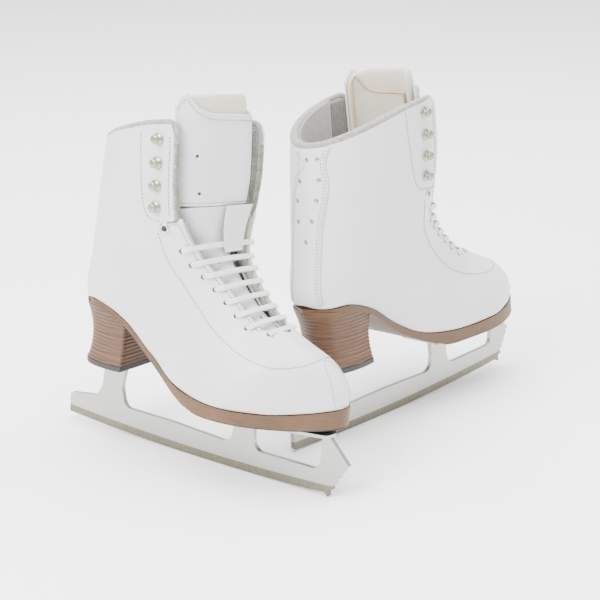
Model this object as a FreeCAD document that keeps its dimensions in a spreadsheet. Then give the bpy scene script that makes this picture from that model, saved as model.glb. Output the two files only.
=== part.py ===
import FreeCAD, Part
import math
import os

# A pair of figure skates. Each skate is drawn in its own frame: X from the blade's tail to the toe,
# Y to the skater's left, Z up from the ice. The right skate is drawn; the left one is its mirror image.

Vector = FreeCAD.Vector
Rotation = FreeCAD.Rotation
Placement = FreeCAD.Placement

doc = FreeCAD.newDocument("figure_skates")
sheet = doc.addObject("Spreadsheet::Sheet", "sizes")

SIZES = {
    # where the two skates stand: turn about Z, toe-down pitch, lean about the blade, place of mid blade
    "right_yaw": -34.35, "right_pitch": 0.6, "right_fore": -84.9, "right_aside": -26.5,
    "left_yaw": 44.35, "left_pitch": -1.3, "left_fore": 87.4, "left_aside": 68.7,
    "lean": 6.0, "mid_blade": 130.0,
    # blade
    "blade_thick": 4.0, "rocker_radius": 2150.0, "rocker_low": 128.0, "tail_up": 20.5,
    "bar_up": 21.0, "bar_up_front": 20.0, "heel_post_back": 38.0, "heel_post_front": 60.0,
    "ball_post_back": 168.5, "ball_post_front": 189.5, "toe_post_back": 250.5,
    "toe_post_front": 257.0, "pick_fore": 259.0, "pick_top_fore": 275.0, "pick_top_up": 29.5,
    "plate_thick": 2.4, "heel_plate_top": 60.0, "sole_plate_top": 50.2,
    "screw_radius": 1.7, "screw_head": 3.4, "screw_long": 12.0,
    # heel and sole
    "lift_thick": 4.0, "heel_flare": 27.0, "heel_waist": 24.0, "heel_waist_up": 86.0,
    "heel_back": 26.5, "heel_breast": 73.5, "sole_margin": 1.5, "base_layer": 1.1,
    "board_gap": 1.6, "board_thick": 2.4, "footbed_thick": 3.2, "board_inset": 8.0,
    "shank_wide": 16.0, "shank_thick": 1.2, "shank_back": 48.0, "shank_front": 150.0,
    # upper: thickness of the layers, counted inwards from the outer skin of the leather
    "leather": 2.0, "layer_gap": 0.4, "stiffener": 1.1, "lining_depth": 3.9, "lining_thick": 2.7,
    "backstay_thick": 1.2, "facing_thick": 1.2, "facing_wide": 0.085,
    "collar_roll_back": 9.0, "collar_roll_front": 4.0,
    # tongue
    "tongue_thick": 2.4, "tongue_pad": 6.5, "tongue_reach": 0.262, "tongue_deep_top": 8.5,
    "tongue_deep": 15.6, "tongue_deep_end": 7.6, "tongue_fold_gap": 0.8,
    "tongue_reach_laced": 0.36, "tongue_reach_end": 0.24,
    "keeper_from": -0.04, "keeper_to": 0.6, "keeper_up": 9.0, "keeper_up_end": 4.3,
    "keeper_thick": 1.2,
    # fittings
    "hook_base": 4.4, "hook_stem": 1.9, "hook_knob": 3.3, "hook_out": 6.4,
    "eyelet_out": 4.3, "eyelet_hole": 2.1, "lace_radius": 1.25, "tip_radius": 1.5,
}

# Sections of the upper, from the top of the shaft to the toe. Each is a flat cut from the front
# ridge (ridge_x, ridge_z) to the back seam or the sole (seat_x, seat_z).
COLUMNS = ("ridge_x", "ridge_z", "seat_x", "seat_z", "middle_y", "outer_w", "inner_w",
           "outer_edge", "inner_edge", "widest", "front_full", "back_full", "turn")
STATIONS = (
    (153, 284, 44, 262, 0, 39, 39, 0, 0, .46, 4.2, 2.3, .40),
    (155, 256, 42, 243, 0, 39.5, 39.5, 0, 0, .46, 4.2, 2.3, .42),
    (156, 229, 38, 214, 0, 39.5, 39.5, 0, 0, .47, 4.2, 2.3, .42),
    (156, 206, 34, 181, 0, 39, 39, 0, 0, .50, 3.8, 2.3, .40),
    (157, 188, 30, 150, 0, 38, 38, 0, 0, .52, 3.1, 2.3, .34),
    (163.5, 171.5, 25.5, 117, 0, 36, 36, 0, 0, .55, 2.5, 2.35, .26),
    (173, 157, 50, 115, 0, 34, 34, 26, 26, .62, 2.3, 2.2, .18),
    (184.5, 143.5, 78, 103.5, 0, 33, 32, 25, 24.5, .66, 2.2, 2.1, .12),
    (197, 131.5, 106, 83, 0, 34, 31, 26, 22.5, .70, 2.2, 2.1, .08),
    (210.5, 121.5, 136, 67.5, 1, 39, 31, 36, 26, .74, 2.15, 2.0, .04),
    (225, 113, 175, 62.2, 2, 44.5, 34, 43.5, 32, .80, 2.1, 2.0, 0),
    (238.5, 105.5, 212, 62.2, 4, 37, 33, 35.5, 31.5, .80, 2.1, 2.0, 0),
    (250.5, 96.5, 239, 64.7, 6.5, 22.5, 24.5, 21, 23, .80, 2.1, 2.0, 0),
    (261, 82, 262, 69.5, 9, 2, 2, 1.5, 1.5, .70, 2.0, 2.0, 0),
)
LAST = len(STATIONS) - 1
SQUARED = ("outer_w", "inner_w", "outer_edge", "inner_edge")
KEEP_ORDER = SQUARED + ("widest", "front_full", "back_full", "turn")

row = 0
for alias, number in SIZES.items():
    row += 1
    sheet.set("A%d" % row, alias)
    sheet.set("B%d" % row, str(number))
    sheet.setAlias("B%d" % row, alias)
for index, station in enumerate(STATIONS):
    for column, number in zip(COLUMNS, station):
        row += 1
        alias = "%s_%s" % (column, chr(ord("a") + index))
        sheet.set("A%d" % row, alias)
        sheet.set("B%d" % row, str(number))
        sheet.setAlias("B%d" % row, alias)
doc.recompute()


def size(alias):
    return float(sheet.get(alias))


TABLE = {column: [size("%s_%s" % (column, chr(ord("a") + i))) for i in range(LAST + 1)]
         for column in COLUMNS}


# ---------------------------------------------------------------- the form of the upper

def along(column, place):
    """A station value at any place between the stations, on a smooth curve through them."""
    values = TABLE[column]
    i = min(max(int(place), 0), LAST - 1)
    t = place - i
    near = [values[min(max(i + k, 0), LAST)] for k in (-1, 0, 1, 2)]
    if column in SQUARED:
        near = [v * v for v in near]

    def slope(a, b, c):
        before, after = b - a, c - b
        if column not in KEEP_ORDER:
            return (c - a) / 2
        return 0 if before * after <= 0 else 2 * before * after / (before + after)

    start = slope(*near[:3]) if i > 0 else near[2] - near[1]
    end = slope(*near[1:]) if i < LAST - 1 else near[2] - near[1]
    value = ((2 * t - 3) * t * t + 1) * near[1] + ((t - 2) * t + 1) * t * start
    value += (3 - 2 * t) * t * t * near[2] + (t - 1) * t * t * end
    return math.sqrt(max(value, 0)) if column in SQUARED else value


def skin(place, around, depth=0.0):
    """A point of the upper. around runs from -1 (front, outer side) over 0 (back or sole) to 1."""
    side = -1 if around < 0 else 1
    down = (1 + math.cos(math.pi * abs(around))) / 2
    name = "outer" if side < 0 else "inner"
    ridge = Vector(along("ridge_x", place), 0, along("ridge_z", place))
    seat = Vector(along("seat_x", place), 0, along("seat_z", place))
    long = (seat - ridge).Length
    edge = along(name + "_edge", place)
    wide = max(along(name + "_w", place) - depth, 0.3)
    back_cut = depth if edge < 0.5 else 0
    edge = max(edge - depth, 0)
    widest = along("widest", place)
    if down < widest:
        power = along("front_full", place)
        out = wide * (1 - (1 - down / widest) ** power) ** (1 / power)
    else:
        power = along("back_full", place)
        drop = (down - widest) / (1 - widest)
        out = edge + (wide - edge) * max(0, 1 - drop ** power) ** (1 / power)
    point = ridge + (seat - ridge) * ((depth + down * (long - depth - back_cut)) / long)
    point.y = along("middle_y", place) + side * out
    point.x += along("turn", place) * side * out * (1 - down)
    return point


def lerp(a, b, t):
    return a + (b - a) * t


def collar_place(around):
    """Top edge of the leather: low at the back seam, high at the flaps."""
    rise = min(abs(around) / 0.62, 1)
    peak = 0.56 if around < 0 else 0.68
    return lerp(1.17, peak, (3 - 2 * rise) * rise * rise)


FLAP_END = 3.45
THROAT_END = 9.3


def throat(place, side):
    """Front edge of a quarter: flap, notch, eyestay and then the toe seam."""
    if place <= FLAP_END:
        return side * 0.775
    if place < THROAT_END:
        t = (place - FLAP_END) / (THROAT_END - FLAP_END)
        return side * (0.80 + 0.035 * t + 0.165 * max(0, t - 0.9) / 0.1)
    return side


def solid_between(outer, inner):
    """A closed solid between two point grids of the same shape."""
    sheets = []
    for grid in (outer, inner):
        surface = Part.BSplineSurface()
        surface.interpolate(grid)
        sheets.append(surface)
    faces = [surface.toShape() for surface in sheets]
    for edge_u in (0, 1):
        curves = []
        for surface in sheets:
            first, last = surface.bounds()[0:2]
            curves.append(surface.uIso((first, last)[edge_u]).toShape())
        faces.append(Part.makeRuledSurface(*curves))
    for edge_v in (0, 1):
        curves = []
        for surface in sheets:
            first, last = surface.bounds()[2:4]
            curves.append(surface.vIso((first, last)[edge_v]).toShape())
        faces.append(Part.makeRuledSurface(*curves))
    shell = Part.Shell(Part.makeShell(faces).Faces)
    shell.sewShape()
    solid = Part.makeSolid(shell)
    if solid.Volume < 0:
        solid.reverse()
    return solid


def layer(place_at, around_at, depth_out, depth_in, rows, across):
    """A layer of the upper between two depths, over a four-sided patch."""
    grids = []
    for depth in (depth_out, depth_in):
        grid = []
        for i in range(rows + 1):
            line = []
            for j in range(across + 1):
                s, t = i / rows, j / across
                place = place_at(s, t)
                line.append(skin(place, around_at(place, t), depth))
            grid.append(line)
        grids.append(grid)
    return solid_between(*grids)


def feature(name, shape):
    """A sub-part whose free-form shape is worked out here."""
    thing = doc.addObject("Part::Feature", name)
    thing.Label = name
    thing.Shape = shape
    return thing


SEAM = 0.004
TOE = LAST - 0.02
SIDES = (("outer", -1), ("inner", 1))
leather = size("leather")
under = leather + size("layer_gap")


# ---------------------------------------------------------------- leather, stiffeners and lining

def side_layer(side, top, bottom, back, front, depth, thick, rows, across):
    """A layer of one side, from place top(t) to bottom and from around back to front(place)."""
    return layer(
        lambda s, t: lerp(top(side * t * 0.775), bottom, s),
        lambda place, t: side * lerp(back, abs(front(place)), t),
        depth, depth + thick, rows, across)


def lining_front(place):
    """The lining stops behind the facing strip, and closes over the toes."""
    behind = abs(throat(place, 1)) - size("facing_wide") - 0.01
    return lerp(behind, 0.985, min(max(place - 9.15, 0), 1))


soft = {}
for name, side in SIDES:
    soft[name + "_quarter"] = side_layer(
        side, collar_place, TOE, SEAM, lambda p: abs(throat(p, 1)) - SEAM, 0, leather, 44, 16)
    soft[name + "_lining"] = side_layer(
        side, lambda a: collar_place(a) + 0.03, 12.3, SEAM, lining_front,
        size("lining_depth"), size("lining_thick"), 36, 14)
    soft[name + "_facing"] = layer(
        lambda s, t, side=side: lerp(collar_place(side * 0.775) + 0.02, THROAT_END - 0.45, s),
        lambda place, t, side=side: throat(place, side) - side * size("facing_wide") * (1 - t)
        - side * 2 * SEAM * t,
        under, under + size("facing_thick"), 26, 4)

stiff = size("stiffener")
soft["heel_counter"] = Part.makeCompound([
    side_layer(side, lambda a: 3.4, 7.6, 0.012, lambda p: 0.36, under, stiff, 16, 8)
    for name, side in SIDES])
soft["toe_box"] = Part.makeCompound([
    side_layer(side, lambda a: 10.4, 12.55, 0.02, lambda p: 0.97, under, stiff, 10, 12)
    for name, side in SIDES])


def hump(place, middle, spread):
    return math.exp(-((place - middle) / spread) ** 2)


def backstay_around(place, t):
    """The strip over the back seam: flared at the collar, a narrow neck, then a long waist."""
    middle = 0.01 + 0.044 * hump(place, 1.6, 1.1) + 0.015 * hump(place, 5.0, 0.6)
    half = 0.094 + 0.022 * hump(place, 1.05, 0.2) - 0.018 * hump(place, 1.6, 0.28)
    half += 0.012 * hump(place, 2.4, 0.5)
    return middle + half * lerp(-1, 1, t)


soft["backstay"] = layer(
    lambda s, t: lerp(collar_place(backstay_around(1.15, t)) + 0.02, 4.97, s), backstay_around,
    -0.25 - size("backstay_thick"), -0.25, 28, 8)


def collar_roll(around):
    """Height of the padded roll above the leather, in stations."""
    back = size("collar_roll_back") / 22
    return lerp(back, size("collar_roll_front") / 27, min(abs(around) / 0.7, 1))


soft["collar_padding"] = layer(
    lambda s, t: collar_place(1.4 * t - 0.7) - lerp(collar_roll(1.4 * t - 0.7), 0.06, s),
    lambda place, t: 1.4 * t - 0.7,
    0, size("lining_depth") + size("lining_thick"), 4, 30)


# ---------------------------------------------------------------- tongue

FOLD = 3.04
LACED = 4.4
TONGUE_TOP = -0.22
TONGUE_END = 9.8


def tongue_deep(place):
    """How far the tongue's face lies below the skin: deepest under the top of the lacing."""
    if place < LACED:
        rise = min(max((place - FOLD) / (LACED - FOLD), 0), 1)
        return lerp(size("tongue_deep_top"), size("tongue_deep"), rise)
    fall = (place - LACED) / (TONGUE_END - LACED)
    return lerp(size("tongue_deep"), size("tongue_deep_end"), fall)


def tongue_reach(place):
    """Share of the girth that the tongue covers on each side of its middle."""
    if place < 6:
        widen = min(max((place - FOLD) / 2, 0), 1)
        return lerp(size("tongue_reach"), size("tongue_reach_laced"), widen)
    narrow = (place - 6) / (TONGUE_END - 6)
    return lerp(size("tongue_reach_laced"), size("tongue_reach_end"), narrow)


def tongue_layer(top, bottom, sides, deep, thick, rows, across):
    """A layer of the tongue, over the part of its width between two sides, from deep(place) inwards."""
    def point(i, j, depth):
        place = lerp(top, bottom, i / rows)
        t = lerp(*sides, j / across)
        around = 1 - tongue_reach(place) * abs(t)
        return skin(place, math.copysign(around, t), deep(place) + depth)
    grids = [[[point(i, j, d) for j in range(across + 1)] for i in range(rows + 1)]
             for d in (0, thick)]
    return solid_between(*grids)


fold_gap = size("tongue_fold_gap") / 23
thick = size("tongue_thick")
soft["tongue_upper"] = tongue_layer(TONGUE_TOP, FOLD, (-1, 1), tongue_deep, thick, 12, 12)
soft["tongue_padding"] = tongue_layer(
    TONGUE_TOP + 0.02, FOLD - 0.05, (-0.92, 0.92), lambda p: tongue_deep(p) + thick + 0.05,
    size("tongue_pad"), 12, 12)
soft["tongue_lower"] = tongue_layer(FOLD + fold_gap, TONGUE_END, (-1, 1), tongue_deep, thick, 24, 12)


KEEPER_LONG = 1.9


def keeper_point(s, t, lower):
    """A point of the keeper strap, which runs flat from the fold over the top lace bar."""
    place = lerp(FOLD + fold_gap, FOLD + KEEPER_LONG, s)
    across = (1 + lerp(size("keeper_from"), size("keeper_to"), t)) / 2
    out = (skin(place, 1) - skin(place, SEAM)).normalize()
    rise = lerp(size("keeper_up"), size("keeper_up_end"), s) - lower
    return skin(place, -0.79) * (1 - across) + skin(place, 0.79) * across + out * rise


soft["lace_keeper"] = solid_between(*[
    [[keeper_point(i / 6, j / 4, lower) for j in range(5)] for i in range(7)]
    for lower in (0, size("keeper_thick"))])


# ---------------------------------------------------------------- lacing

HOLES = [9.0 - 0.625 * k for k in range(8)]
HOLE_BEHIND = 0.062
lace = size("lace_radius")


def hole_point(k, side, depth):
    place = HOLES[k]
    return skin(place, throat(place, side) - side * HOLE_BEHIND, depth)


def lace_bar(k, side):
    """One bar: out of a hole, over both eyestay edges and the tongue, and into the other hole."""
    place = HOLES[k]
    edge = abs(throat(min(place, 9.0), 1)) - 0.015
    ends = [hole_point(k, side * q, -lace - 0.4) for q in (1, -1)]
    tops = [skin(place, side * q * edge, -lace - 0.5) for q in (1, -1)]
    middle = (tops[0] + tops[1]) / 2 + Vector(0.3, 0, 0.3)
    return [ends[0], tops[0], middle, tops[1], ends[1]]


def inside(k, side):
    return hole_point(k, side, under + size("facing_thick") + lace + 0.7)


def lace_route():
    """Straight lacing: the lowest bar's two ends climb inside, two holes at a time."""
    arms = []
    for start, holes in ((-1, (2, 4, 6)), (1, (1, 3, 5, 7))):
        side = start
        route = [inside(0, side)]
        for k in holes:
            route.append(inside(k, side))
            route += lace_bar(k, side)
            side = -side
            route.append(inside(k, side))
        last = HOLES[holes[-1]]
        route.append(skin(last + 0.15, side * 0.745, 9.2))
        route.append(skin(last + 0.5, side * 0.7, 9.6))
        route.append(skin(last + 1.0, side * 0.62, 9.8))
        arms.append(route)
    outer_arm, inner_arm = arms
    return outer_arm[::-1] + lace_bar(0, -1) + inner_arm


def rounded_wire(points):
    """Straight runs joined by tangent arcs."""
    edges = []
    begin = points[0]
    for before, corner, after in zip(points, points[1:], points[2:]):
        into = (corner - before).normalize()
        away = (after - corner).normalize()
        turn = into.getAngle(away)
        if turn < 0.02:
            continue
        cut = 0.42 * min((corner - before).Length, (after - corner).Length)
        first = corner - into * cut
        last = corner + away * cut
        radius = cut / math.tan(turn / 2)
        inner = (away - into).normalize()
        centre_out = math.hypot(radius, cut)
        middle = corner + inner * (centre_out - radius)
        if (first - begin).Length > 1e-4:
            edges.append(Part.LineSegment(begin, first).toShape())
        edges.append(Part.Arc(first, middle, last).toShape())
        begin = last
    edges.append(Part.LineSegment(begin, points[-1]).toShape())
    return Part.Wire(edges)


def tube(points, radius):
    path = rounded_wire(points)
    start = (points[1] - points[0]).normalize()
    ring = Part.Wire([Part.Circle(points[0], start, radius).toShape()])
    return path.makePipeShell([ring], True, True)


route = lace_route()
soft["lace"] = tube(route, lace)


def lace_tip(end, before):
    way = (end - before).normalize()
    return Part.makeCylinder(size("tip_radius"), 16, end, way)


soft["lace_tips"] = Part.makeCompound([
    lace_tip(route[0], route[1]), lace_tip(route[-1], route[-2])])

parts = {}
for name, shape in soft.items():
    parts[name] = feature(name, shape)


# ---------------------------------------------------------------- sole, heel and inner boards

def closed_curve(points):
    curve = Part.BSplineCurve()
    curve.interpolate(points, PeriodicFlag=True)
    return curve


def open_curve(points):
    curve = Part.BSplineCurve()
    curve.interpolate(points)
    return curve


EDGE_PLACES = (5.1, 5.4, 5.8, 6.4, 7, 7.6, 8.2, 9, 9.6, 10.2, 11, 11.7, 12.3, 12.75)


def plan_outline(grow):
    """The line where the upper meets the sole, seen from above and moved outwards by grow."""
    sides = [[Vector(along("seat_x", p), along("middle_y", p) + side * along(name + "_edge", p))
              for p in EDGE_PLACES] for name, side in SIDES]
    heel = Vector(TABLE["seat_x"][5], 0)
    tip = Vector(TABLE["seat_x"][-1], TABLE["middle_y"][-1])
    rim = [heel] + sides[0] + [tip] + sides[1][::-1]
    moved = []
    for k, here in enumerate(rim):
        run = (rim[(k + 1) % len(rim)] - rim[k - 1]).normalize()
        moved.append(here + Vector(run.y, -run.x) * grow)
    return moved


def free_sketch(name, geometry, upright=False):
    sketch = doc.addObject("Sketcher::SketchObject", name)
    if upright:
        sketch.Placement = Placement(Vector(), Rotation(Vector(1, 0, 0), 90))
    sketch.addGeometry(geometry, False)
    return sketch


def extrusion(name, sketch, way, long, both):
    block = doc.addObject("Part::Extrusion", name)
    block.Base = sketch
    block.Dir = way
    block.DirMode = "Custom"
    block.LengthFwd = long
    block.Symmetric = both
    block.Solid = True
    return block


def band(name, upper, lower):
    """A block across the skate between two curves of the side view."""
    top = open_curve(upper)
    bottom = open_curve(lower)
    ends = [Part.LineSegment(upper[k], lower[k]) for k in (0, -1)]
    sketch = free_sketch(name + "_profile", [top, bottom] + ends, upright=True)
    return extrusion(name, sketch, Vector(0, 1, 0), 140, True)


def plan_block(name, grow):
    sketch = free_sketch(name + "_plan", [closed_curve(plan_outline(grow))])
    return extrusion(name, sketch, Vector(0, 0, 1), 160, False)


def common(name, *objects):
    both = doc.addObject("Part::MultiCommon", name)
    both.Shapes = objects
    both.Label = name
    return both


def cut(name, base, tool):
    less = doc.addObject("Part::Cut", name)
    less.Base = base
    less.Tool = tool
    less.Label = name
    return less


def fuse(name, *objects):
    union = doc.addObject("Part::MultiFuse", name)
    union.Shapes = objects
    union.Label = name
    return union


def group(name, objects):
    bundle = doc.addObject("Part::Compound", name)
    bundle.Links = objects
    bundle.Label = name
    return bundle


HEEL_SEAT = min(along("seat_z", 5 + k / 10) for k in range(11)) - 0.5
SOLE_TOP = [Vector(x, HEEL_SEAT) for x in (16, 26, 36)] + [
    Vector(along("seat_x", 6 + k / 2), along("seat_z", 6 + k / 2) - 0.5)
    for k in range(2 * LAST - 12)] + [Vector(270, 71)]
SOLE_BOTTOM = [Vector(16, 110.5), Vector(50, 108.8), Vector(78, 98), Vector(106, 76.5),
               Vector(134, 60.5), Vector(156, 52.9), Vector(178, 51.7), Vector(195, 51.6),
               Vector(212, 51.7), Vector(240, 52.3), Vector(270, 57)]


def raised(points, up):
    return [Vector(p.x, p.y + up) for p in points]


sole_plan = plan_block("sole_block", size("sole_margin"))
sole_band = band("sole_band", SOLE_TOP, SOLE_BOTTOM)
base_band = band("base_band", raised(SOLE_BOTTOM, -0.1), raised(SOLE_BOTTOM, -size("base_layer")))
forefoot = doc.addObject("Part::Box", "forefoot")
forefoot.Length, forefoot.Width, forefoot.Height = 140, 120, 80
forefoot.Placement = Placement(Vector(156, -60, 0), Rotation())
base_plan = plan_block("base_block", size("sole_margin") - 1)
outsole = common("outsole_blank", sole_plan, sole_band)
base_layer = common("base_blank", base_plan, base_band, forefoot)

board_low = size("board_gap")
board_top = board_low + size("board_thick")
board_plan = plan_block("board_block", -size("board_inset"))
board_band = band("board_band", raised(SOLE_TOP, board_top), raised(SOLE_TOP, board_low))
footbed_band = band("footbed_band", raised(SOLE_TOP, board_top + 0.2 + size("footbed_thick")),
                    raised(SOLE_TOP, board_top + 0.2))
parts["insole_board"] = common("insole_board", board_plan, board_band)
parts["footbed"] = common("footbed", board_plan, footbed_band)

shank_band = band("shank_band", raised(SOLE_TOP, 0.2 + size("shank_thick")), raised(SOLE_TOP, 0.2))
shank_bar = doc.addObject("Part::Box", "shank_bar")
shank_bar.setExpression("Length", "sizes.shank_front - sizes.shank_back")
shank_bar.setExpression("Width", "sizes.shank_wide")
shank_bar.Height = 160
shank_bar.setExpression("Placement.Base.x", "sizes.shank_back")
shank_bar.setExpression("Placement.Base.y", "-sizes.shank_wide / 2")
parts["shank"] = common("shank", shank_bar, shank_band)


def plane_of(body, role):
    return next(f for f in body.Origin.OriginFeatures if f.Role == role)


def body_sketch(body, name, role, geometry, up="0"):
    sketch = body.newObject("Sketcher::SketchObject", name)
    sketch.AttachmentSupport = [(plane_of(body, role), "")]
    sketch.MapMode = "FlatFace"
    sketch.setExpression("AttachmentOffset.Base.z", up)
    sketch.addGeometry(geometry, False)
    return sketch


def padded_body(name, role, geometry, long, up="0", middle=False):
    """A plate: one sketch, padded."""
    body = doc.addObject("PartDesign::Body", name)
    body.Label = name
    sketch = body_sketch(body, name + "_sketch", role, geometry, up)
    pad = body.newObject("PartDesign::Pad", name + "_pad")
    pad.Profile = sketch
    if middle:
        pad.SideType = "Symmetric"
    pad.setExpression("Length", long)
    return body


def heel_section(back, half, breast):
    """Round at the back, nearly straight across the breast."""
    rim = [Vector(breast, -half * 0.96), Vector((back + breast) / 2 + 4, -half),
           Vector(lerp(back, breast, 0.17), -half * 0.76), Vector(back, 0),
           Vector(lerp(back, breast, 0.17), half * 0.76), Vector((back + breast) / 2 + 4, half),
           Vector(breast, half * 0.96)]
    return [open_curve(rim), Part.LineSegment(rim[-1], rim[0])]


flare, waist = size("heel_flare"), size("heel_waist")
back, breast = size("heel_back"), size("heel_breast")
lift_body = padded_body("heel_lift_blank", "XY_Plane", heel_section(back, flare, breast),
                        "sizes.lift_thick", "sizes.heel_plate_top")
heel_body = doc.addObject("PartDesign::Body", "heel_blank")
heel_sections = [
    body_sketch(heel_body, "heel_low", "XY_Plane", heel_section(back, flare, breast),
                "sizes.heel_plate_top + sizes.lift_thick"),
    body_sketch(heel_body, "heel_middle", "XY_Plane", heel_section(back + 5, waist, breast - 1.5),
                "sizes.heel_waist_up"),
    body_sketch(heel_body, "heel_high", "XY_Plane",
                heel_section(TABLE["seat_x"][5] - 1, flare, breast + 6), "120")]
loft = heel_body.newObject("PartDesign::AdditiveLoft", "heel_loft")
loft.Profile = heel_sections[0]
loft.Sections = heel_sections[1:]
above_sole = band("above_sole", raised(SOLE_BOTTOM, 60), SOLE_BOTTOM)
heel_trimmed = cut("heel_trimmed", heel_body, above_sole)


# ---------------------------------------------------------------- blade, plates and screws

def rocker(x):
    return (x - size("rocker_low")) ** 2 / (2 * size("rocker_radius"))


def rounded_outline(corners):
    """Closed outline from (x, y, radius) corners, as lines and arcs."""
    count = len(corners)
    ins, outs, bends = [], [], []
    for k in range(count):
        before, here, after = (Vector(*corners[(k + d) % count][:2]) for d in (-1, 0, 1))
        radius = corners[k][2]
        into = (here - before).normalize()
        away = (after - here).normalize()
        turn = into.getAngle(away)
        cutback = radius * math.tan(turn / 2)
        first, last = here - into * cutback, here + away * cutback
        ins.append(first)
        outs.append(last)
        inner = (away - into).normalize() if turn > 1e-3 else Vector()
        bends.append(Part.Arc(first, here + inner * (math.hypot(radius, cutback) - radius), last)
                     if radius > 0 else None)
    geometry = []
    for k in range(count):
        geometry.append(Part.LineSegment(outs[k], ins[(k + 1) % count]))
        if bends[(k + 1) % count]:
            geometry.append(bends[(k + 1) % count])
    return geometry


def pick_teeth():
    """Toe pick: four small teeth and a drag pick, from the top down."""
    high = Vector(size("pick_top_fore"), size("pick_top_up"))
    low = Vector(size("pick_fore") + 1.5, 5)
    teeth = []
    for k in range(5):
        tip = high + (low - high) * (k / 4.6)
        notch = tip + Vector(-3.4, -1.6)
        teeth += [(tip.x, tip.y, 0.25), (notch.x, notch.y, 0.3)]
    return teeth + [(size("pick_fore"), 1.0, 0.4), (size("pick_fore") - 3.5, rocker(253) + 0.9, 1.0)]


plate_low = size("heel_plate_top") - size("plate_thick")
sole_plate_low = size("sole_plate_top") - size("plate_thick")
back_x, front_x = size("heel_post_back"), size("heel_post_front")
ball_x, ball_end = size("ball_post_back"), size("ball_post_front")
toe_x, toe_end = size("toe_post_back"), size("toe_post_front")
bar, bar_front = size("bar_up"), size("bar_up_front")
blade_corners = [
    (1.0, size("tail_up"), 2.0), (30, 25, 9), (back_x - 2.5, 36, 6), (back_x, plate_low, 0),
    (front_x, plate_low, 0), (front_x - 4, 38, 14), (front_x, bar + 0.5, 8), (110, 21.8, 0),
    (ball_x - 1.5, 19.6, 9), (ball_x + 1, 34, 12), (ball_x, sole_plate_low, 0),
    (ball_end, sole_plate_low, 0), (ball_end - 1, 30, 12), (ball_end + 1.5, bar_front - 0.5, 8),
    (toe_x - 1.5, bar_front + 0.3, 7), (toe_x, 34, 10), (toe_x, sole_plate_low, 0),
    (toe_end, sole_plate_low, 0)] + pick_teeth()
for step in range(9, 0, -1):
    foot = 25 * step + 18
    blade_corners.append((foot, rocker(foot), 0))
blade_corners.append((0.6, rocker(0), 1.0))
parts["blade_runner"] = padded_body(
    "blade_runner", "XZ_Plane", rounded_outline(blade_corners), "sizes.blade_thick", middle=True)

heel_plate_rim = [(back_x - 6, 15, 3), (back_x - 6, -15, 3), (front_x + 3, -15, 5),
                  (front_x + 9, -6, 3), (front_x + 9, 6, 3), (front_x + 3, 15, 5)]
sole_plate_rim = [(160, 20, 5), (160, -26, 5), (196, -25, 10), (226, -16, 14), (257, -7, 4),
                  (259, 4, 3), (250, 14, 5), (226, 21, 14), (196, 25, 10)]
heel_plate_blank = padded_body("heel_plate_blank", "XY_Plane", rounded_outline(heel_plate_rim),
                               "sizes.plate_thick", "sizes.heel_plate_top - sizes.plate_thick")
sole_plate_blank = padded_body("sole_plate_blank", "XY_Plane", rounded_outline(sole_plate_rim),
                               "sizes.plate_thick", "sizes.sole_plate_top - sizes.plate_thick")


def screw(name, x, y, plate_top):
    """A countersunk wood screw, head down, driven up through a plate."""
    head = doc.addObject("Part::Cone", name + "_head")
    head.setExpression("Radius1", "sizes.screw_head")
    head.setExpression("Radius2", "sizes.screw_radius")
    head.setExpression("Height", "sizes.plate_thick")
    head.Placement = Placement(Vector(x, y, size(plate_top) - size("plate_thick")), Rotation())
    stem = doc.addObject("Part::Cylinder", name + "_stem")
    stem.setExpression("Radius", "sizes.screw_radius")
    stem.setExpression("Height", "sizes.screw_long - sizes.plate_thick")
    stem.Placement = Placement(Vector(x, y, size(plate_top)), Rotation())
    return fuse(name, head, stem)


heel_screws = [screw("heel_screw_%d%s" % (x, "l" if y > 0 else "r"), x, y, "heel_plate_top")
               for x in (38, 60) for y in (-10, 10)]
sole_screws = [screw("sole_screw_%d%s" % (x, "l" if y > 0 else "r"), x, y, "sole_plate_top")
               for x, y in ((166, -19), (166, 13), (196, -16), (196, 16), (224, -9), (224, 12))]
parts["heel_screws"] = group("heel_screws", heel_screws)
parts["sole_screws"] = group("sole_screws", sole_screws)
parts["heel_plate"] = cut("heel_plate", heel_plate_blank, parts["heel_screws"])
parts["sole_plate"] = cut("sole_plate", sole_plate_blank, parts["sole_screws"])
parts["heel_lift"] = cut("heel_lift", lift_body, parts["heel_screws"])
parts["heel_stack"] = cut("heel_stack", heel_trimmed, parts["heel_screws"])
parts["sole_base_layer"] = cut("sole_base_layer", base_layer, parts["sole_screws"])
parts["outsole"] = cut("outsole", outsole, parts["sole_screws"])


# ---------------------------------------------------------------- hooks and eyelets

def outward(place, around):
    """Placement on the skin whose Z points out of the leather."""
    here = skin(place, around)
    step = 0.02
    across = skin(place, around + step) - skin(place, around - step)
    down = skin(place + step, around) - skin(place - step, around)
    normal = across.cross(down)
    centre = (skin(place, 0.5) + skin(place, -0.5)) / 2
    if normal.dot(here - centre) < 0:
        normal = -normal
    return Placement(here, Rotation(Vector(0, 0, 1), normal))


def cylinder(name, where, radius, low, high):
    rod = doc.addObject("Part::Cylinder", name)
    rod.setExpression("Radius", radius)
    rod.Height = high - low
    rod.Placement = where.multiply(Placement(Vector(0, 0, low), Rotation()))
    return rod


def hook(name, where):
    """A lace hook: rivet base, stem and round knob."""
    base = cylinder(name + "_base", where, "sizes.hook_base", 0.05, 1.0)
    stem = cylinder(name + "_stem", where, "sizes.hook_stem", -leather, size("hook_out") - 1)
    knob = cylinder(name + "_knob", where, "sizes.hook_knob", size("hook_out") - 2.4,
                    size("hook_out"))
    return fuse(name, base, stem, knob)


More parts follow.
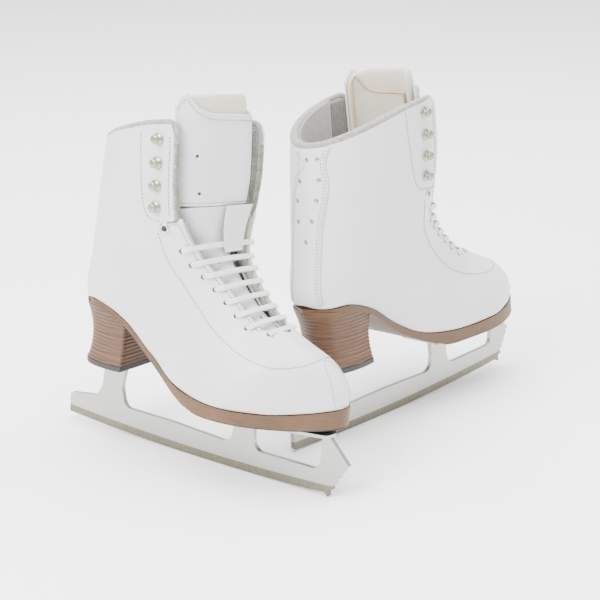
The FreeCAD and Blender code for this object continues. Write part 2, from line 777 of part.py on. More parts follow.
HOOK_PLACES = (1.02, 1.66, 2.29, 2.93)
HOOK_AROUND = 0.66
EYELET_PLACE = 3.72
EYELET_AROUND = 0.70
parts["lace_hooks"] = group("lace_hooks", [
    hook("%s_hook_%d" % (name, k), outward(place, side * HOOK_AROUND))
    for name, side in SIDES for k, place in enumerate(HOOK_PLACES)])
eyelets = []
for name, side in SIDES:
    where = outward(EYELET_PLACE, side * EYELET_AROUND)
    flange = cylinder(name + "_flange", where, "sizes.eyelet_out", 0.05, 0.7)
    barrel = cylinder(name + "_barrel", where, "sizes.eyelet_hole + 0.7", -leather, 0.7)
    bore = cylinder(name + "_bore", where, "sizes.eyelet_hole", -leather - 1, 2)
    eyelets.append(cut(name + "_eyelet", fuse(name + "_ring", flange, barrel), bore))
parts["eyelets"] = group("eyelets", eyelets)


# ---------------------------------------------------------------- the pair

def standing(yaw, pitch, roll, fore, aside):
    """Placement of a skate whose mid blade stands at fore, aside."""
    turn = Rotation(yaw, pitch, roll)
    shift = Vector(fore, aside, 0) - turn.multVec(Vector(size("mid_blade"), 0, 0))
    return Placement(shift, turn)


doc.recompute()
right_at = standing(size("right_yaw"), size("right_pitch"), -size("lean"),
                    size("right_fore"), size("right_aside"))
left_at = standing(size("left_yaw"), size("left_pitch"), -size("lean"),
                   size("left_fore"), size("left_aside"))
centre_plane = Vector(0, 1, 0)


def placed_box(placement, mirrored):
    """The true box of one skate's outer pieces at a placement."""
    box = FreeCAD.BoundBox()
    for thing in parts.values():
        shape = thing.Shape.copy()
        if mirrored:
            shape = shape.mirror(Vector(), centre_plane)
        shape.Placement = placement.multiply(shape.Placement)
        box.add(shape.optimalBoundingBox(False, False))
    return box


right_box = placed_box(right_at, False)
left_box = placed_box(left_at, True)
right_at.Base.z -= right_box.ZMin
left_at.Base.z -= left_box.ZMin
whole = FreeCAD.BoundBox(right_box)
whole.add(left_box)
middle = Vector(whole.Center.x, whole.Center.y, 0)
right_at.Base -= middle
left_at.Base -= middle

nodes = []
for name, thing in parts.items():
    thing.Label = "right_" + name
    thing.Placement = right_at.multiply(thing.Placement)
    twin = doc.addObject("Part::Mirroring", "left_" + name)
    twin.Source = thing
    twin.Base = right_at.Base
    twin.Normal = right_at.Rotation.multVec(centre_plane)
    twin.Label = "left_" + name
    twin.Placement = left_at.multiply(right_at.inverse())
    nodes += [thing, twin]
doc.recompute()


# ---------------------------------------------------------------- checks and files

for thing in doc.Objects:
    if "Invalid" in thing.State or "Error" in thing.State:
        raise RuntimeError("%s did not build: %s" % (thing.Name, thing.State))
for thing in nodes:
    if thing.Shape.isNull() or not thing.Shape.isValid() or thing.Shape.Volume <= 0:
        raise RuntimeError("%s is not a valid solid" % thing.Label)

os.makedirs("parts", exist_ok=True)
for thing in nodes:
    thing.Shape.exportStep("parts/%s.step" % thing.Label)
print(len(nodes), "nodes written")
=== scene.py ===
import functools
import math

import bmesh
import bpy
from mathutils import Euler, Matrix, Vector


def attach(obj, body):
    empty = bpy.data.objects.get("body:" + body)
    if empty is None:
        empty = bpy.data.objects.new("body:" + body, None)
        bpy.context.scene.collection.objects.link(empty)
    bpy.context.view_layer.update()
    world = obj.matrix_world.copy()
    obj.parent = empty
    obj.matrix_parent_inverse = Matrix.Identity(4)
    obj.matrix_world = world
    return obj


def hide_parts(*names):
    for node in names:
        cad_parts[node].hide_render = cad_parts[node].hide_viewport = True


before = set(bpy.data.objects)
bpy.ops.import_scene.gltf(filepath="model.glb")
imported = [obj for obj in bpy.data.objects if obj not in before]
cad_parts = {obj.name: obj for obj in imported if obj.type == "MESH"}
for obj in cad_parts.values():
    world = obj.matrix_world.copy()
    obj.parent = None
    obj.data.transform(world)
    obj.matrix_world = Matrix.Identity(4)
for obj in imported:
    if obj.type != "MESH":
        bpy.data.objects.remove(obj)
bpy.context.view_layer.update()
MM = 0.001
SIDES = {"outer": -1, "inner": 1}

# Where each skate stands: the tail end of its own frame in mm, and its roll, pitch and yaw.
PLACES = {
    "right": (Vector((-190.81, 14.05, 1.654)), (-6.0, 0.6, -34.35)),
    "left": (Vector((-4.12, -54.95, -2.166)), (-6.0, -1.3, 44.35)),
}

# In metres: one leather layer of the heel, the runner's lowest point and its rocker's radius.
HEEL_LAYER = 0.00305
RUNNER_LOW = 0.128
ROCKER = 2.15


# ---------------------------------------------------------------- camera

def camera():
    data = bpy.data.cameras.new("camera")
    data.lens = 85.85
    data.sensor_width = 36
    eye = bpy.data.objects.new("camera", data)
    eye.location = (0.0014, -1.0858, 0.4955)
    aim = Vector((0.0014, -0.0328, 0.120)) - eye.location
    eye.rotation_euler = aim.to_track_quat("-Z", "Y").to_euler()
    bpy.context.collection.objects.link(eye)
    bpy.context.scene.camera = eye


camera()


# ---------------------------------------------------------------- the form of the boot, in mm

# Sections of the upper from the top of the shaft to the toe, as in the CAD.
COLUMNS = ("ridge_x", "ridge_z", "seat_x", "seat_z", "middle_y", "outer_w", "inner_w",
           "outer_edge", "inner_edge", "widest", "front_full", "back_full", "turn")
STATIONS = (
    (153, 284, 44, 262, 0, 39, 39, 0, 0, .46, 4.2, 2.3, .40),
    (155, 256, 42, 243, 0, 39.5, 39.5, 0, 0, .46, 4.2, 2.3, .42),
    (156, 229, 38, 214, 0, 39.5, 39.5, 0, 0, .47, 4.2, 2.3, .42),
    (156, 206, 34, 181, 0, 39, 39, 0, 0, .50, 3.8, 2.3, .40),
    (157, 188, 30, 150, 0, 38, 38, 0, 0, .52, 3.1, 2.3, .34),
    (163.5, 171.5, 25.5, 117, 0, 36, 36, 0, 0, .55, 2.5, 2.35, .26),
    (173, 157, 50, 115, 0, 34, 34, 26, 26, .62, 2.3, 2.2, .18),
    (184.5, 143.5, 78, 103.5, 0, 33, 32, 25, 24.5, .66, 2.2, 2.1, .12),
    (197, 131.5, 106, 83, 0, 34, 31, 26, 22.5, .70, 2.2, 2.1, .08),
    (210.5, 121.5, 136, 67.5, 1, 39, 31, 36, 26, .74, 2.15, 2.0, .04),
    (225, 113, 175, 62.2, 2, 44.5, 34, 43.5, 32, .80, 2.1, 2.0, 0),
    (238.5, 105.5, 212, 62.2, 4, 37, 33, 35.5, 31.5, .80, 2.1, 2.0, 0),
    (250.5, 96.5, 239, 64.7, 6.5, 22.5, 24.5, 21, 23, .80, 2.1, 2.0, 0),
    (261, 82, 262, 69.5, 9, 2, 2, 1.5, 1.5, .70, 2.0, 2.0, 0),
)
LAST = len(STATIONS) - 1
TOE = LAST - 0.02
SQUARED = ("outer_w", "inner_w", "outer_edge", "inner_edge")
KEEP_ORDER = SQUARED + ("widest", "front_full", "back_full", "turn")
TABLE = {name: [row[k] for row in STATIONS] for k, name in enumerate(COLUMNS)}


def lerp(a, b, t):
    return a + (b - a) * t


def smooth(t):
    t = min(max(t, 0), 1)
    return t * t * (3 - 2 * t)


@functools.lru_cache(maxsize=None)
def along(column, place):
    """A station value at any place between the stations, on a smooth curve through them."""
    values = TABLE[column]
    i = min(max(int(place), 0), LAST - 1)
    t = place - i
    near = [values[min(max(i + k, 0), LAST)] for k in (-1, 0, 1, 2)]
    if column in SQUARED:
        near = [v * v for v in near]

    def slope(a, b, c):
        before, after = b - a, c - b
        if column not in KEEP_ORDER:
            return (c - a) / 2
        return 0 if before * after <= 0 else 2 * before * after / (before + after)

    start = slope(*near[:3]) if i > 0 else near[2] - near[1]
    end = slope(*near[1:]) if i < LAST - 1 else near[2] - near[1]
    value = ((2 * t - 3) * t * t + 1) * near[1] + ((t - 2) * t + 1) * t * start
    value += (3 - 2 * t) * t * t * near[2] + (t - 1) * t * t * end
    return math.sqrt(max(value, 0)) if column in SQUARED else value


def skin(place, around, depth=0.0):
    """A point of the upper. around runs from -1 (front, outer side) over 0 (back or sole) to 1."""
    side = -1 if around < 0 else 1
    down = (1 + math.cos(math.pi * abs(around))) / 2
    name = "outer" if side < 0 else "inner"
    ridge = Vector((along("ridge_x", place), 0, along("ridge_z", place)))
    seat = Vector((along("seat_x", place), 0, along("seat_z", place)))
    long = (seat - ridge).length
    edge = along(name + "_edge", place)
    wide = max(along(name + "_w", place) - depth, 0.3)
    back_cut = depth if edge < 0.5 else 0
    edge = max(edge - depth, 0)
    widest = along("widest", place)
    if down < widest:
        power = along("front_full", place)
        out = wide * (1 - (1 - down / widest) ** power) ** (1 / power)
    else:
        power = along("back_full", place)
        drop = (down - widest) / (1 - widest)
        out = edge + (wide - edge) * max(0, 1 - drop ** power) ** (1 / power)
    point = ridge + (seat - ridge) * ((depth + down * (long - depth - back_cut)) / long)
    point.y = along("middle_y", place) + side * out
    point.x += along("turn", place) * side * out * (1 - down)
    return point


def frame_on(place, around, depth=0.0):
    """A point on the skin with its outward normal."""
    here = skin(place, around, depth)
    across = skin(place, around + 0.01, depth) - skin(place, around - 0.01, depth)
    down = (skin(place + 0.02, around, depth) - skin(place - 0.02, around, depth)).normalized()
    normal = across.cross(down).normalized()
    centre = (skin(place, 0.5) + skin(place, -0.5)) / 2
    if normal.dot(here - centre) < 0:
        normal = -normal
    return here, normal


# Edges of the openings: FRONT and CORNER are around values, the others are places.
FLAP_FRONT = 0.775
FLAP_CORNER = 0.715
FLAP_END = 3.45
NOTCH_LONG = 1.2
THROAT_END = 9.3
EYESTAY_FRONT = 0.80
COLLAR_BACK = 1.17
OUTER_TOP = 0.56
INNER_TOP = 0.68


def collar_place(around):
    """Top edge of the leather: low at the back seam, high at the flaps, with a rounded corner."""
    rise = smooth(abs(around) / 0.62)
    corner = max(abs(around) - FLAP_CORNER, 0) / (FLAP_FRONT - FLAP_CORNER)
    return lerp(COLLAR_BACK, OUTER_TOP if around < 0 else INNER_TOP, rise) + 0.24 * corner ** 2.5


def throat(place):
    """Front edge of a quarter: flap, notch, eyestay and then the closed toe."""
    if place <= FLAP_END:
        return FLAP_FRONT
    if place < THROAT_END:
        t = (place - FLAP_END) / (THROAT_END - FLAP_END)
        return EYESTAY_FRONT + 0.035 * t + 0.165 * max(0, t - 0.9) / 0.1
    return 1.0


# ---------------------------------------------------------------- materials

class Paint:
    """A procedural material under construction."""

    def __init__(self, name, roughness=0.5, metallic=0.0, **sockets):
        self.material = bpy.data.materials.new(name)
        self.material.use_nodes = True
        self.tree = self.material.node_tree
        self.shader = self.tree.nodes["Principled BSDF"]
        self.shader.inputs["Roughness"].default_value = roughness
        self.shader.inputs["Metallic"].default_value = metallic
        for socket, value in sockets.items():
            self.shader.inputs[socket.replace("_", " ")].default_value = value
        self.here = self.node("ShaderNodeTexCoord").outputs["Object"]
        self.heights = None

    def node(self, kind, **values):
        node = self.tree.nodes.new(kind)
        for key, value in values.items():
            if hasattr(node, key):
                setattr(node, key, value)
            else:
                node.inputs[key.replace("_", " ")].default_value = value
        return node

    def link(self, output, target):
        self.tree.links.new(output, target)

    def local(self, skate):
        """Coordinates in the skate's own frame, in metres."""
        base, angles = PLACES[skate]
        mapping = self.node("ShaderNodeMapping", vector_type="TEXTURE")
        mapping.inputs["Location"].default_value = base * MM
        mapping.inputs["Rotation"].default_value = [math.radians(a) for a in angles]
        self.link(self.here, mapping.inputs["Vector"])
        return mapping.outputs["Vector"]

    def stretched(self, source, scale):
        mapping = self.node("ShaderNodeMapping")
        mapping.inputs["Scale"].default_value = scale
        self.link(source, mapping.inputs["Vector"])
        return mapping.outputs["Vector"]

    def noise(self, scale, detail=3.0, source=None, roughness=0.55):
        node = self.node("ShaderNodeTexNoise", Scale=scale, Detail=detail, Roughness=roughness)
        self.link(source or self.here, node.inputs["Vector"])
        return node.outputs["Fac"]

    def cells(self, scale, feature):
        node = self.node("ShaderNodeTexVoronoi", feature=feature, Scale=scale)
        self.link(self.here, node.inputs["Vector"])
        return node.outputs["Distance"]

    def maths(self, operation, a, b):
        node = self.node("ShaderNodeMath", operation=operation)
        for socket, value in zip(node.inputs, (a, b)):
            if isinstance(value, (int, float)):
                socket.default_value = value
            else:
                self.link(value, socket)
        return node.outputs[0]

    def ramp(self, source, *stops):
        node = self.node("ShaderNodeValToRGB")
        elements = node.color_ramp.elements
        while len(elements) < len(stops):
            elements.new(0.5)
        for element, (position, colour) in zip(elements, stops):
            element.position = position
            element.color = (*colour, 1)
        self.link(source, node.inputs["Fac"])
        return node.outputs["Color"]

    def mix(self, factor, a, b):
        node = self.node("ShaderNodeMix", data_type="RGBA")
        for socket, value in zip((node.inputs[0], node.inputs[6], node.inputs[7]), (factor, a, b)):
            if isinstance(value, (int, float)):
                socket.default_value = value
            elif isinstance(value, tuple):
                socket.default_value = (*value, 1)
            else:
                self.link(value, socket)
        return node.outputs[2]

    def grey_to(self, source, low, high):
        node = self.node("ShaderNodeMapRange")
        node.inputs["To Min"].default_value = low
        node.inputs["To Max"].default_value = high
        self.link(source, node.inputs["Value"])
        return node.outputs["Result"]

    def colour(self, output):
        self.link(output, self.shader.inputs["Base Color"])

    def rough(self, output):
        self.link(output, self.shader.inputs["Roughness"])

    def bump(self, height, distance, strength):
        """Adds a layer of relief on top of the ones already there."""
        node = self.node("ShaderNodeBump", Distance=distance, Strength=strength)
        self.link(height, node.inputs["Height"])
        if self.heights:
            self.link(self.heights, node.inputs["Normal"])
        self.heights = node.outputs["Normal"]
        self.link(self.heights, self.shader.inputs["Normal"])


def white_leather(name, tint=(0.60, 0.605, 0.615)):
    """Coated white leather: a tight pebble, faint broad waves and slightly uneven gloss."""
    paint = Paint(name, roughness=0.42, Coat_Weight=0.12, Coat_Roughness=0.3)
    broad = paint.noise(22, 3)
    shade = tuple(c * 0.955 for c in tint)
    paint.colour(paint.ramp(broad, (0.35, shade), (0.62, tint)))
    paint.rough(paint.grey_to(paint.noise(60, 4), 0.34, 0.50))
    paint.bump(broad, 0.0016, 0.35)
    paint.bump(paint.cells(1500, "SMOOTH_F1"), 0.00006, 0.55)
    paint.bump(paint.noise(420, 4), 0.00008, 0.5)
    return paint.material


def fibre(name, dark, light, scale, depth=0.0004):
    """Felt or knitted cloth: speckled fibres."""
    paint = Paint(name, roughness=0.9, Sheen_Weight=0.35, Sheen_Roughness=0.5)
    fine = paint.noise(scale, 4, roughness=0.7)
    blotch = paint.noise(scale * 0.28, 2)
    speckle = paint.maths("ADD", paint.maths("MULTIPLY", fine, 0.7), paint.maths("MULTIPLY", blotch, 0.3))
    paint.colour(paint.ramp(speckle, (0.36, dark), (0.62, light)))
    paint.bump(fine, depth, 0.8)
    return paint.material


def thread(name, colour):
    """Sewing thread, with painted shade in the grooves of its twist."""
    paint = Paint(name, roughness=0.75, Sheen_Weight=0.2)
    # Painted shade: the twist's grooves, the low side of its bump, get a colour 0.8 times darker.
    dark = tuple(c * 0.8 for c in colour)
    twist = paint.noise(2500, 2)
    paint.colour(paint.ramp(twist, (0.3, dark), (0.6, colour)))
    paint.bump(twist, 0.0001, 0.6)
    return paint.material


def waffle(skate):
    """The lining's knit: rows of raised loops, with painted shade in the gaps between them."""
    paint = Paint("waffle_" + skate, roughness=0.85, Sheen_Weight=0.3)
    split = paint.node("ShaderNodeSeparateXYZ")
    paint.link(paint.stretched(paint.local(skate), (1000, 1000, 1000)), split.inputs[0])
    flat = paint.node("ShaderNodeCombineXYZ")
    paint.link(split.outputs["Z"], flat.inputs["X"])
    paint.link(split.outputs["X"], flat.inputs["Y"])
    # The near-black mortar is painted shade in the recessed gaps between the loops.
    loops = paint.node("ShaderNodeTexBrick", Scale=1.0, Mortar_Size=0.34, Mortar_Smooth=0.6,
                       Brick_Width=2.9, Row_Height=1.9, Color1=(0.27, 0.255, 0.225, 1),
                       Color2=(0.18, 0.17, 0.15, 1), Mortar=(0.06, 0.055, 0.048, 1))
    paint.link(flat.outputs[0], loops.inputs["Vector"])
    fuzz = paint.noise(1500, 3)
    paint.colour(paint.mix(0.35, loops.outputs["Color"],
                           paint.ramp(fuzz, (0.3, (0.12, 0.115, 0.10)), (0.7, (0.34, 0.325, 0.29)))))
    paint.bump(paint.maths("SUBTRACT", 1.0, loops.outputs["Fac"]), 0.0005, 0.8)
    paint.bump(fuzz, 0.0001, 0.5)
    return paint.material


def flat_lace(name):
    """Woven cotton lace: small raised cells, with painted highlight on their crests."""
    paint = Paint(name, roughness=0.8, Sheen_Weight=0.25)
    weave = paint.cells(1900, "F1")
    # Painted highlight and shade: each cell lighter at its centre, darker towards its edge.
    paint.colour(paint.ramp(weave, (0.0, (0.74, 0.74, 0.74)), (0.8, (0.60, 0.605, 0.61))))
    paint.bump(weave, 0.00025, 0.8)
    return paint.material


def stacked_leather(skate):
    """The burnished leather layers of the heel: fine dark seams and streaky grain."""
    paint = Paint("heel_layers_" + skate, roughness=0.5, Coat_Weight=0.06, Coat_Roughness=0.3)
    local = paint.local(skate)
    streak = paint.noise(1, 5, paint.stretched(local, (45, 45, 800)), 0.65)
    layer = paint.noise(1, 2, paint.stretched(local, (3, 3, 420)))
    tone = paint.maths("ADD", paint.maths("MULTIPLY", streak, 0.5), paint.maths("MULTIPLY", layer, 0.5))
    wood = paint.ramp(tone, (0.34, (0.036, 0.013, 0.004)), (0.47, (0.078, 0.032, 0.010)),
                      (0.64, (0.135, 0.060, 0.020)))
    split = paint.node("ShaderNodeSeparateXYZ")
    paint.link(local, split.inputs[0])
    wander = paint.maths("MULTIPLY", paint.noise(30, 2), 0.0018)
    steps = paint.maths("MULTIPLY", paint.maths("ADD", split.outputs["Z"], wander), 1 / HEEL_LAYER)
    seam = paint.maths("ABSOLUTE", paint.maths("SUBTRACT", paint.maths("FRACT", steps, 0.0), 0.5), 0.0)
    line = paint.ramp(seam, (0.36, (0, 0, 0)), (0.48, (0.75, 0.75, 0.75)))
    paint.colour(paint.mix(line, wood, (0.040, 0.016, 0.006)))
    paint.rough(paint.grey_to(streak, 0.42, 0.62))
    paint.bump(streak, 0.0003, 0.6)
    return paint.material


def sole_leather(skate):
    """The sole's cut edge: smooth, tan, burnished, with the faint lines of its layers."""
    paint = Paint("sole_" + skate, roughness=0.55, Coat_Weight=0.05, Coat_Roughness=0.3)
    local = paint.local(skate)
    streak = paint.noise(1, 5, paint.stretched(local, (90, 90, 1400)), 0.6)
    blotch = paint.noise(45, 3)
    tone = paint.maths("ADD", paint.maths("MULTIPLY", streak, 0.5), paint.maths("MULTIPLY", blotch, 0.5))
    paint.colour(paint.ramp(tone, (0.34, (0.055, 0.022, 0.006)), (0.64, (0.105, 0.048, 0.016))))
    paint.bump(streak, 0.0002, 0.5)
    return paint.material


def rubber(name):
    """Black rubber, faintly brown on its raised grain."""
    paint = Paint(name, roughness=0.6)
    tone = 0.014
    grain = paint.noise(700, 4)
    paint.colour(paint.ramp(grain, (0.3, (tone,) * 3), (0.7, (tone * 1.9, tone * 1.7, tone * 1.5))))
    paint.bump(grain, 0.00015, 0.6)
    return paint.material


def blade_steel(skate):
    """Satin steel, ground bare and darker along the running edge."""
    paint = Paint("blade_" + skate, roughness=0.33, metallic=1.0)
    local = paint.local(skate)
    split = paint.node("ShaderNodeSeparateXYZ")
    paint.link(local, split.inputs[0])
    x, z = split.outputs["X"], split.outputs["Z"]
    from_low = paint.maths("SUBTRACT", x, RUNNER_LOW)
    rocker = paint.maths("MULTIPLY", paint.maths("MULTIPLY", from_low, from_low), 1 / (2 * ROCKER))
    height = paint.maths("SUBTRACT", z, rocker)
    band = paint.ramp(paint.maths("MULTIPLY", height, 100.0), (0.60, (0, 0, 0)), (0.66, (1, 1, 1)))
    grain = paint.noise(1, 4, paint.stretched(local, (40, 400, 2600)), 0.6)
    cross = paint.noise(1, 3, paint.stretched(local, (2600, 400, 120)), 0.6)
    satin = paint.ramp(grain, (0.3, (0.34, 0.345, 0.325)), (0.7, (0.43, 0.435, 0.415)))
    ground = paint.ramp(cross, (0.3, (0.13, 0.118, 0.085)), (0.7, (0.21, 0.193, 0.145)))
    paint.colour(paint.mix(band, ground, satin))
    paint.rough(paint.grey_to(grain, 0.27, 0.40))
    paint.bump(grain, 0.00004, 0.35)
    return paint.material


def steel(name, tone):
    """Plated or plain steel for small fittings, with cloudy wear."""
    paint = Paint(name, roughness=0.3, metallic=1.0)
    worn = paint.noise(180, 4)
    paint.colour(paint.ramp(worn, (0.3, tuple(c * 0.85 for c in tone)), (0.7, tone)))
    paint.rough(paint.grey_to(worn, 0.24, 0.40))
    return paint.material


def painted_hole_shade(name):
    """Painted shade for the inside of a hole: a dark disc set on the surface."""
    paint = Paint(name, roughness=0.9)
    paint.colour(paint.ramp(paint.noise(900), (0.3, (0.02, 0.02, 0.02)), (0.7, (0.06, 0.055, 0.05))))
    return paint.material


LEATHER = white_leather("white_leather")
# A darker copy of the white leather: painted shade for the tongue, which lies deep under the lacing.
TONGUE_LEATHER_PAINTED_SHADE = white_leather("tongue_leather_painted_shade", (0.585, 0.59, 0.605))
RAW_EDGE = fibre("raw_edge", (0.25, 0.22, 0.165), (0.45, 0.41, 0.33), 1400, depth=0.0002)
FELT = fibre("grey_felt", (0.13, 0.125, 0.112), (0.36, 0.35, 0.325), 1100)
SOFT_FELT = fibre("soft_felt", (0.27, 0.27, 0.255), (0.42, 0.415, 0.395), 1300, depth=0.0002)
EDGE_FELT = fibre("edge_felt", (0.085, 0.078, 0.060), (0.24, 0.225, 0.185), 1200)
CREAM = fibre("cream_pad", (0.47, 0.43, 0.335), (0.57, 0.535, 0.44), 700, depth=0.0002)
CREAM_DARK = fibre("cream_binding", (0.33, 0.235, 0.125), (0.48, 0.37, 0.23), 900)
FOOTBED = fibre("footbed_cloth", (0.28, 0.27, 0.25), (0.42, 0.405, 0.38), 800)
STIFF = fibre("stiffener_fibre", (0.50, 0.46, 0.40), (0.66, 0.62, 0.55), 1000)
# The thread's grey tone is painted shade, standing in for the shadow that greys the stitches.
THREAD_PAINTED_SHADE = thread("thread_grey_painted_shade", (0.20, 0.20, 0.21))
LACE = flat_lace("lace_weave_painted_highlight")
RUBBER = rubber("black_rubber")
NICKEL = steel("nickel", (0.36, 0.335, 0.27))
SILVER = steel("silver", (0.62, 0.62, 0.61))
SCREW = steel("screw_steel", (0.5, 0.5, 0.49))
# Dark discs painted as the shade inside the vents, pin holes, lace holes and eyelets.
HOLE_SHADE = painted_hole_shade("painted_hole_shade")


# ---------------------------------------------------------------- building

class Skate:
    """One skate: turns shapes drawn in mm in the right boot's own frame into pieces."""

    def __init__(self, name):
        self.name = name
        base, angles = PLACES[name]
        turn = Euler([math.radians(a) for a in angles], "XYZ").to_matrix().to_4x4()
        mirror = Matrix.Diagonal((1, -1 if name == "left" else 1, 1, 1))
        self.matrix = Matrix.Scale(MM, 4) @ Matrix.Translation(base) @ turn @ mirror

    def piece(self, name, shape, material, slot, body="skate", replaces=(), weld=0.0):
        """Makes a piece from its points in mm and its faces; weld joins points closer than that."""
        points, faces = shape
        mesh = bpy.data.meshes.new("%s_%s" % (self.name, name))
        if self.name == "left":
            faces = [tuple(reversed(face)) for face in faces]
        mesh.from_pydata([self.matrix @ Vector(p) for p in points], [], faces)
        if weld:
            work = bmesh.new()
            work.from_mesh(mesh)
            bmesh.ops.remove_doubles(work, verts=work.verts, dist=weld * MM)
            bmesh.ops.dissolve_degenerate(work, dist=weld * MM * 0.1, edges=work.edges)
            bmesh.ops.recalc_face_normals(work, faces=work.faces)
            work.to_mesh(mesh)
            work.free()
        mesh.polygons.foreach_set("use_smooth", [True] * len(mesh.polygons))
        mesh.materials.append(material)
        thing = bpy.data.objects.new("%s_%s" % (self.name, name), mesh)
        bpy.context.collection.objects.link(thing)
        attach(thing, "%s_%s" % (self.name, body))
        if replaces:
            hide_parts(*["%s_%s" % (self.name, node) for node in replaces])
        return thing


def turns(count, offset=0.0):
    """Evenly spaced angles round a full turn."""
    return [2 * math.pi * (k + offset) / count for k in range(count)]


def heading(path, k):
    """The direction of a path at its point k."""
    return (path[min(k + 1, len(path) - 1)] - path[max(k - 1, 0)]).normalized()


def grid_faces(rows, columns, loop=False):
    """Quads of a point grid, row by row; loop joins the last column to the first."""
    faces = []
    for i in range(rows - 1):
        for j in range(columns if loop else columns - 1):
            k = (j + 1) % columns
            faces.append((i * columns + j, i * columns + k, (i + 1) * columns + k, (i + 1) * columns + j))
    return faces


def patch(point, rows, columns, turned=False):
    """Points and quads of point(s, t) with s down and t across; turned faces look the other way."""
    points = [point(i / (rows - 1), j / (columns - 1)) for i in range(rows) for j in range(columns)]
    faces = grid_faces(rows, columns)
    return points, [face[::-1] for face in faces] if turned else faces


def soften(thing, width, sharpest):
    """Rounds the edges that turn by more than sharpest degrees."""
    soft = thing.modifiers.new("edges", "BEVEL")
    soft.width = width * MM
    soft.segments = 2
    soft.limit_method = "ANGLE"
    soft.angle_limit = math.radians(sharpest)


def thicken(thing, thickness, bevel=0.0):
    """Gives a single surface its thickness, inwards, and soft edges."""
    solid = thing.modifiers.new("thickness", "SOLIDIFY")
    solid.thickness = thickness * MM
    solid.offset = -1
    if bevel:
        soften(thing, bevel, 50)


def tube(rings):
    """A tube through rings of points, closed at both ends."""
    count = len(rings[0])
    points = [p for ring in rings for p in ring]
    faces = grid_faces(len(rings), count, loop=True)
    faces.append(tuple(range(count))[::-1])
    faces.append(tuple(range(len(points) - count, len(points))))
    return points, faces


def lathe(profile, origin, normal, segments):
    """A turned piece: profile is (radius, height) along normal from origin."""
    turn = normal.to_track_quat("Z", "Y").to_matrix()
    return tube([[origin + turn @ Vector((radius * math.cos(a), radius * math.sin(a), height))
                  for a in turns(segments)] for radius, height in profile])


def cord(path, radius):
    """A round cord along a path."""
    rings = []
    for k, centre in enumerate(path):
        run = heading(path, k)
        side = run.orthogonal().normalized()
        up = run.cross(side)
        rings.append([centre + (side * math.cos(a) + up * math.sin(a)) * radius for a in turns(8)])
    return tube(rings)


def gather(parts):
    """Joins several (points, faces) into one."""
    points, faces = [], []
    for more, quads in parts:
        start = len(points)
        points += more
        faces += [tuple(start + k for k in face) for face in quads]
    return points, faces


def curve_through(points, steps):
    """A smooth path through a few points (Catmull-Rom)."""
    path = []
    padded = [2 * points[0] - points[1]] + points + [2 * points[-1] - points[-2]]
    for a, b, c, d in zip(padded, padded[1:], padded[2:], padded[3:]):
        for k in range(steps):
            t = k / steps
            path.append(0.5 * (2 * b + (c - a) * t + (2 * a - 5 * b + 4 * c - d) * t * t
                               + (3 * b - a - 3 * c + d) * t ** 3))
    return path + [points[-1]]


def resample(points, pitch):
    """Points at an even pitch along a polyline, with the direction at each."""
    spots, left = [], pitch / 2
    for a, b in zip(points, points[1:]):
        run = (b - a).length
        while left < run:
            spots.append((a.lerp(b, left / run), (b - a).normalized()))
            left += pitch
        left -= run
    return spots


def stitch_row(marks, pitch, length, radius):
    """Stitches along a row of (point, normal) marks: small threads, part sunk into the leather."""
    points = [mark[0] for mark in marks]
    parts = []
    for spot, way in resample(points, pitch):
        nearest = min(marks, key=lambda mark: (mark[0] - spot).length_squared)
        up = nearest[1]
        side = way.cross(up).normalized()
        body = []
        for s, r in ((-0.5, 0.35), (-0.32, 0.95), (0.32, 0.95), (0.5, 0.35)):
            lift = 0.32 if abs(s) < 0.4 else -0.05
            centre = spot + way * (s * length) + up * lift * radius * 2
            body += [centre + (side * math.cos(a) + up * math.sin(a)) * radius * r for a in turns(4)]
        faces = grid_faces(4, 4, loop=True) + [(3, 2, 1, 0), (12, 13, 14, 15)]
        parts.append((body, faces))
    return gather(parts)


def skin_row(places, depth=-0.1):
    """Marks for a stitch row from (place, around) pairs."""
    return [frame_on(place, around, depth) for place, around in places]


# ---------------------------------------------------------------- upper

def upper(skate):
    """The white leather: both quarters and the toe, with its cut edges."""
    tip = (skin(TOE, -1e-4) + skin(TOE, 1e-4)) / 2

    def side(sign):
        def point(s, t):
            if s == 1:
                return tip
            place = lerp(collar_place(sign * t * FLAP_FRONT), TOE, min(s * 1.007, 1) ** 1.05)
            front = throat(place)
            if t < 1:
                front = lerp(FLAP_FRONT, front, smooth((place - FLAP_END) / NOTCH_LONG))
            return skin(place, sign * max(t * front, 1e-4))
        return patch(point, 150, 64)
    shell = skate.piece("upper", gather([side(sign) for sign in SIDES.values()]), LEATHER, "white_leather",
                        replaces=("outer_quarter", "inner_quarter"), weld=0.12)
    thicken(shell, 2.0, 0.5)


def edge_bead(route, depth, across, through):
    """A rounded edge along a route of (place, around) pairs, slightly uneven like cut felt."""
    marks = skin_row(route, depth)
    centres = [here for here, normal in marks]
    rings = []
    for k, (here, normal) in enumerate(marks):
        out = heading(centres, k).cross(normal).normalized()
        wobble = 1 + 0.10 * math.sin(k * 2.1) + 0.06 * math.sin(k * 5.3)
        rings.append([here + (out * math.cos(a) * across + normal * math.sin(a) * through) * wobble
                      for a in turns(10)])
    return tube(rings)


def eyestay_edge(skate):
    """The pale cut edge that shows along the throat, from the notch to the toe."""
    parts = []
    for sign in SIDES.values():
        route = [(place, sign * (throat(place) + 0.004))
                 for place in (lerp(FLAP_END + 0.15, THROAT_END - 0.62, k / 70) for k in range(71))]
        parts.append(edge_bead(route, 2.2, 1.35, 1.75))
    skate.piece("eyestay_edge", gather(parts), RAW_EDGE, "stiffener")


LINING_DEPTH = 3.9
COLLAR_LINING_DEPTH = 6.75


